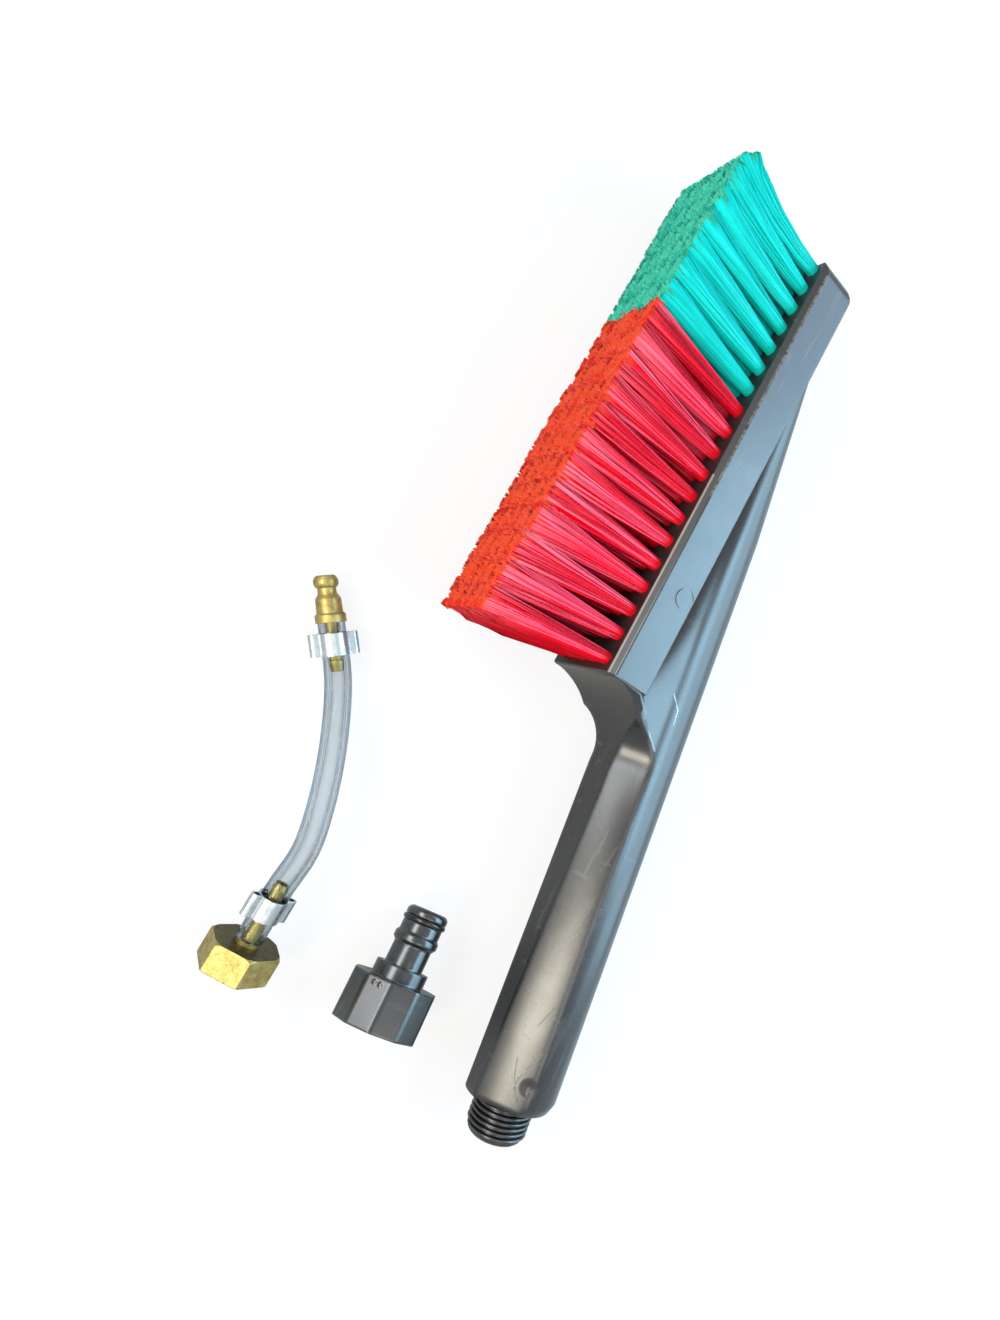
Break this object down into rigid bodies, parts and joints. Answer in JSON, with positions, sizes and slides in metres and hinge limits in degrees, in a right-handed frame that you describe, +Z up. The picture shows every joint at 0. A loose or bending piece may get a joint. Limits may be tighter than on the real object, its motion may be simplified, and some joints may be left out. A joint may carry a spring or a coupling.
{
  "type": "water-fed wash brush set",
  "caption": "Hollow hand brush with two-colour bristle tufts and a threaded spigot, a tap adapter and a clear hose whip with a quick plug and a swivel nut.",
  "frame": {"origin": "bottom centre of the box round the brush and the adapter as they lie, at the height of the surface", "axes": "+Y along the tuft block towards the brush tip, +X from the bristle tips towards the back of the brush, +Z up"},
  "size_m": [0.1513, 0.3229, 0.0422],
  "materials": {
    "body_plastic": "satin moulded black",
    "bristle_red": "fine nylon bristle",
    "bristle_green": "fine nylon bristle",
    "adapter_plastic": "satin moulded black",
    "seal_rubber": "glossy wet rubber",
    "washer_rubber": "matte",
    "brass": "bright machined",
    "clear_pvc": "clear soft hose",
    "zinc": "bright zinc plate"
  },
  "bodies": {
    "brush": {"brush_body": "body_plastic", "tufts_red_row1": "bristle_red", "tufts_red_row2": "bristle_red", "tufts_red_row3": "bristle_red", "tufts_red_row4": "bristle_red", "tufts_red_row5": "bristle_red", "tufts_green_row1": "bristle_green", "tufts_green_row2": "bristle_green", "tufts_green_row3": "bristle_green", "tufts_green_row4": "bristle_green", "tufts_green_row5": "bristle_green"},
    "adapter": {"adapter_body": "adapter_plastic", "adapter_oring": "seal_rubber", "adapter_gasket": "washer_rubber"},
    "hose": {"hose_tail": "brass", "hose_tube": "clear_pvc", "lower_clamp": "zinc", "upper_clamp": "zinc", "plug_nipple": "brass"},
    "nut": {"swivel_nut": "brass", "nut_gasket": "washer_rubber"}
  },
  "joints": [
    {"name": "adapter_lift", "type": "slide", "parent": "brush", "child": "adapter", "axis": [0, 0, 1], "range_m": [0, 0.1]},
    {"name": "hose_lift", "type": "slide", "parent": "brush", "child": "hose", "axis": [0, 0, 1], "range_m": [0, 0.1]},
    {"name": "nut_spin", "type": "hinge", "parent": "hose", "child": "nut", "pos_m": [-0.0569, -0.1392, 0.0107], "axis": [-0.0173, 0.9901, 0.1392], "continuous": true}
  ]
}
